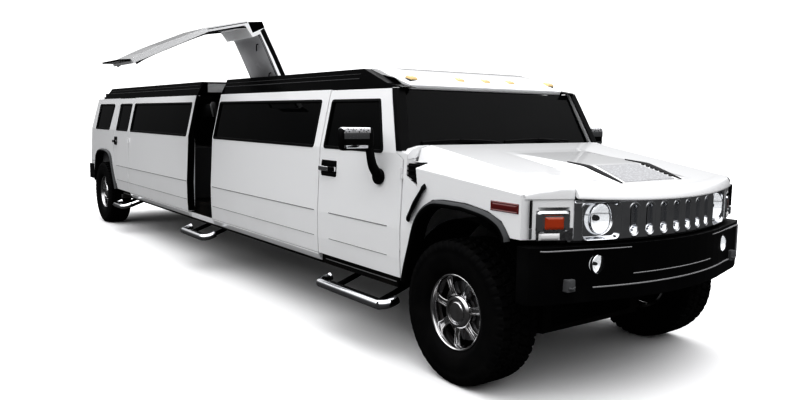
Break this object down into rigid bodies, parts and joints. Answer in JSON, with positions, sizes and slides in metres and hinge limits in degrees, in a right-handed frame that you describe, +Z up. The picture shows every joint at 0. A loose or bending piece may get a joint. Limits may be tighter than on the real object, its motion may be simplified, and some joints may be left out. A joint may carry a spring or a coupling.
{
  "type": "stretch limousine",
  "caption": "Long white off-road style limousine with a raised wing door, hinged doors, tilting hood, lifting tailgate, steered front wheels and a hollow cabin.",
  "frame": {"origin": "on the floor, on the centre line, midway between the axles", "axes": "+X to the front, +Y to the left side, +Z up"},
  "size_m": [9.393, 3.1359, 2.5097],
  "materials": {
    "body_paint": "gloss white paint",
    "black_paint": "gloss black paint",
    "frame_paint": "satin black chassis paint",
    "black_plastic": "textured black plastic",
    "grey_plastic": "grey flare moulding",
    "chrome": "bright plated",
    "dark_glass": "dark tinted glass",
    "lamp_lens": "clear lamp lens",
    "amber_lens": "orange lens",
    "red_lens": "dark red lens",
    "tyre_rubber": "black tyre rubber",
    "rim_metal": "polished aluminium",
    "cast_metal": "cast metal",
    "steel": "bare steel",
    "leather": "black leather",
    "cabin_trim": "dark cabin trim"
  },
  "bodies": {
    "body": {"arch_flares": "grey_plastic", "bar_cabinets": "cabin_trim", "cab_roof": "body_paint", "dashboard": "cabin_trim", "driveline": "frame_paint", "engine": "cast_metal", "exhaust": "steel", "fixed_glass": "dark_glass", "floor_pan": "frame_paint", "front_body": "body_paint", "front_bumper": "black_plastic", "front_seats": "leather", "front_suspension": "frame_paint", "fuel_tank": "black_plastic", "grille": "chrome", "head_lamps": "lamp_lens", "hitch_receiver": "frame_paint", "ladder_frame": "frame_paint", "long_roof": "body_paint", "lounge_bench": "leather", "partition": "cabin_trim", "radiator": "black_plastic", "rear_axle": "frame_paint", "rear_body": "body_paint", "rear_bumper": "black_plastic", "roof_rails": "black_paint", "side_left": "body_paint", "side_right": "body_paint", "side_steps": "chrome", "signal_lamps": "amber_lens", "tail_lamps": "red_lens", "wheel_liners": "black_plastic"},
    "knuckle_right": {"knuckle_right": "cast_metal"},
    "knuckle_left": {"knuckle_left": "cast_metal"},
    "wheel_front_right": {"tyre_front_right": "tyre_rubber", "rim_front_right": "rim_metal"},
    "wheel_front_left": {"tyre_front_left": "tyre_rubber", "rim_front_left": "rim_metal"},
    "wheel_rear_right": {"tyre_rear_right": "tyre_rubber", "rim_rear_right": "rim_metal"},
    "wheel_rear_left": {"tyre_rear_left": "tyre_rubber", "rim_rear_left": "rim_metal"},
    "front_door_right": {"door_front_right": "body_paint", "door_glass_front_right": "dark_glass", "mirror_right": "chrome"},
    "front_door_left": {"door_front_left": "body_paint", "door_glass_front_left": "dark_glass", "mirror_left": "chrome"},
    "rear_door_right": {"door_rear_right": "body_paint", "door_glass_rear_right": "dark_glass"},
    "rear_door_left": {"door_rear_left": "body_paint", "door_glass_rear_left": "dark_glass"},
    "wing_door_leaf": {"wing_door": "body_paint", "wing_door_glass": "dark_glass", "wing_door_rail": "black_paint"},
    "hood_shell": {"hood": "body_paint", "side_markers": "red_lens"},
    "tailgate_leaf": {"tailgate": "body_paint", "tailgate_glass": "dark_glass"}
  },
  "joints": [
    {"name": "steer_right", "type": "hinge", "parent": "body", "child": "knuckle_right", "pos_m": [3.845, -0.81, 0.432], "axis": [0, 0, 1], "range_deg": [-30, 30]},
    {"name": "steer_left", "type": "hinge", "parent": "body", "child": "knuckle_left", "pos_m": [3.845, 0.81, 0.432], "axis": [0, 0, 1], "range_deg": [-30, 30]},
    {"name": "spin_front_right", "type": "hinge", "parent": "knuckle_right", "child": "wheel_front_right", "pos_m": [3.845, -0.8815, 0.432], "axis": [0, 1, 0], "continuous": true},
    {"name": "spin_front_left", "type": "hinge", "parent": "knuckle_left", "child": "wheel_front_left", "pos_m": [3.845, 0.8815, 0.432], "axis": [0, 1, 0], "continuous": true},
    {"name": "spin_rear_right", "type": "hinge", "parent": "body", "child": "wheel_rear_right", "pos_m": [-3.845, -0.8815, 0.432], "axis": [0, 1, 0], "continuous": true},
    {"name": "spin_rear_left", "type": "hinge", "parent": "body", "child": "wheel_rear_left", "pos_m": [-3.845, 0.8815, 0.432], "axis": [0, 1, 0], "continuous": true},
    {"name": "swing_front_right", "type": "hinge", "parent": "body", "child": "front_door_right", "pos_m": [3.305, -1.003, 0.9], "axis": [0, 0, 1], "range_deg": [0, 65]},
    {"name": "swing_front_left", "type": "hinge", "parent": "body", "child": "front_door_left", "pos_m": [3.305, 1.003, 0.9], "axis": [0, 0, -1], "range_deg": [0, 65]},
    {"name": "swing_rear_right", "type": "hinge", "parent": "body", "child": "rear_door_right", "pos_m": [-2.655, -1.003, 0.9], "axis": [0, 0, 1], "range_deg": [0, 65]},
    {"name": "swing_rear_left", "type": "hinge", "parent": "body", "child": "rear_door_left", "pos_m": [-2.655, 1.003, 0.9], "axis": [0, 0, -1], "range_deg": [0, 65]},
    {"name": "close_wing_door", "type": "hinge", "parent": "body", "child": "wing_door_leaf", "pos_m": [-0.18, -0.143, 1.901], "axis": [1, 0, 0], "range_deg": [0, 64]},
    {"name": "tilt_hood", "type": "hinge", "parent": "body", "child": "hood_shell", "pos_m": [4.561, 0, 0.96], "axis": [0, 1, 0], "range_deg": [0, 50]},
    {"name": "lift_tailgate", "type": "hinge", "parent": "body", "child": "tailgate_leaf", "pos_m": [-4.482, 0, 1.763], "axis": [0, 1, 0], "range_deg": [0, 85]}
  ],
  "couplings": [
    {"joint": "steer_left", "follows": "steer_right", "ratio": 1}
  ]
}
